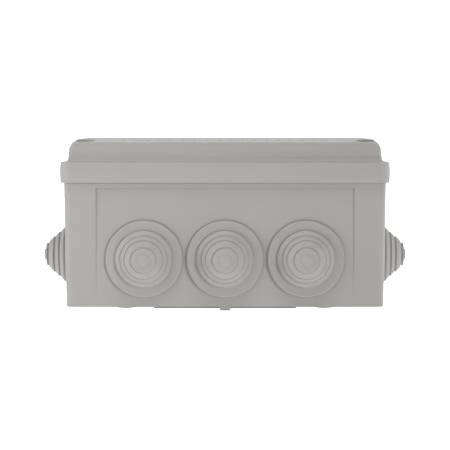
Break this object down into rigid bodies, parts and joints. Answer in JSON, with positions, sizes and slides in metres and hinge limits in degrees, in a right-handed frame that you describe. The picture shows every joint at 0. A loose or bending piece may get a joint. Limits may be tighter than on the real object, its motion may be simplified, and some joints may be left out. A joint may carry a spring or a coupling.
{
  "type": "electrical junction box",
  "caption": "Rectangular surface-mounting junction box with an overlapping screwed lid, stepped cable grommets on all sides and a terminal strip inside.",
  "frame": {"origin": "centre of the mounting plane, under the middle of the base", "axes": "+X along the long side, +Y towards the rear long side, +Z from the wall towards the lid"},
  "size_m": [0.1754, 0.1304, 0.0805],
  "materials": {
    "box_plastic": "fine moulded satin, light grey",
    "grommet_pvc": "soft satin PVC, light grey",
    "screw_plastic": "moulded satin, mid grey",
    "seal_rubber": "matt black",
    "terminal_plastic": "natural polyamide",
    "terminal_brass": "drawn brass",
    "plated_steel": "bright zinc plating"
  },
  "bodies": {
    "base_unit": {"base": "box_plastic", "grommet_front_left": "grommet_pvc", "grommet_front_centre": "grommet_pvc", "grommet_front_right": "grommet_pvc", "grommet_rear_left": "grommet_pvc", "grommet_rear_centre": "grommet_pvc", "grommet_rear_right": "grommet_pvc", "grommet_left_front": "grommet_pvc", "grommet_left_rear": "grommet_pvc", "grommet_right_front": "grommet_pvc", "grommet_right_rear": "grommet_pvc", "terminal_strip": "terminal_plastic", "terminal_inserts": "terminal_brass", "terminal_clamp_screws": "plated_steel", "terminal_fixing_screws": "plated_steel"},
    "lid_unit": {"lid": "box_plastic", "lid_gasket": "seal_rubber", "screw_o_rings": "seal_rubber"},
    "screw_front_left": {"lid_screw_front_left": "screw_plastic"},
    "screw_front_right": {"lid_screw_front_right": "screw_plastic"},
    "screw_rear_left": {"lid_screw_rear_left": "screw_plastic"},
    "screw_rear_right": {"lid_screw_rear_right": "screw_plastic"}
  },
  "joints": [
    {"name": "lid_lift", "type": "slide", "parent": "base_unit", "child": "lid_unit", "axis": [0, 0, 1], "range_m": [0, 0.06]},
    {"name": "turn_screw_front_left", "type": "hinge", "parent": "lid_unit", "child": "screw_front_left", "pos_m": [-0.06695, -0.04495, 0.078], "axis": [0, 0, -1], "range_deg": [0, 90]},
    {"name": "turn_screw_front_right", "type": "hinge", "parent": "lid_unit", "child": "screw_front_right", "pos_m": [0.06695, -0.04495, 0.078], "axis": [0, 0, -1], "range_deg": [0, 90]},
    {"name": "turn_screw_rear_left", "type": "hinge", "parent": "lid_unit", "child": "screw_rear_left", "pos_m": [-0.06695, 0.04495, 0.078], "axis": [0, 0, -1], "range_deg": [0, 90]},
    {"name": "turn_screw_rear_right", "type": "hinge", "parent": "lid_unit", "child": "screw_rear_right", "pos_m": [0.06695, 0.04495, 0.078], "axis": [0, 0, -1], "range_deg": [0, 90]}
  ]
}
